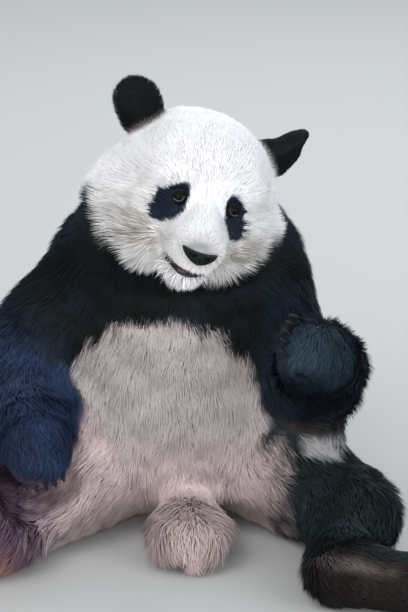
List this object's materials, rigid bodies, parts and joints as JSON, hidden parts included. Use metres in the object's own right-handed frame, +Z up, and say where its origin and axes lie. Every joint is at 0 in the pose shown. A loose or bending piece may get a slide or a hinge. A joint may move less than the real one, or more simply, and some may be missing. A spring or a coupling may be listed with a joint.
{
  "type": "giant panda",
  "caption": "Life-size still model of a giant panda that sits upright, one forepaw raised near its mouth and the other on its thigh.",
  "frame": {"origin": "on the floor, under the middle of the rump", "axes": "+Z up, -Y the way the panda faces, +X towards the panda's left"},
  "size_m": [1.0554, 0.8484, 0.8034],
  "materials": {
    "white_coat": "dense soft fur, white with a cream tint",
    "body_coat": "dense fur, black at the shoulders and stained white on the belly",
    "black_coat": "dense black fur with a faint blue sheen",
    "nose": "moist black skin",
    "eye": "wet and glossy, dark brown",
    "mouth": "moist pink",
    "claw": "dark horn"
  },
  "bodies": {
    "root": {"head": "white_coat", "lower_jaw": "white_coat", "ear_left": "black_coat", "ear_right": "black_coat", "eye_left": "eye", "eye_right": "eye", "nose": "nose", "tongue": "mouth", "neck": "white_coat", "trunk": "body_coat", "tail": "white_coat", "foreleg_left": "black_coat", "foreleg_right": "black_coat", "forepaw_left": "black_coat", "forepaw_right": "black_coat", "hindleg_left": "black_coat", "hindleg_right": "black_coat", "hindfoot_left": "black_coat", "hindfoot_right": "black_coat"}
  },
  "joints": []
}
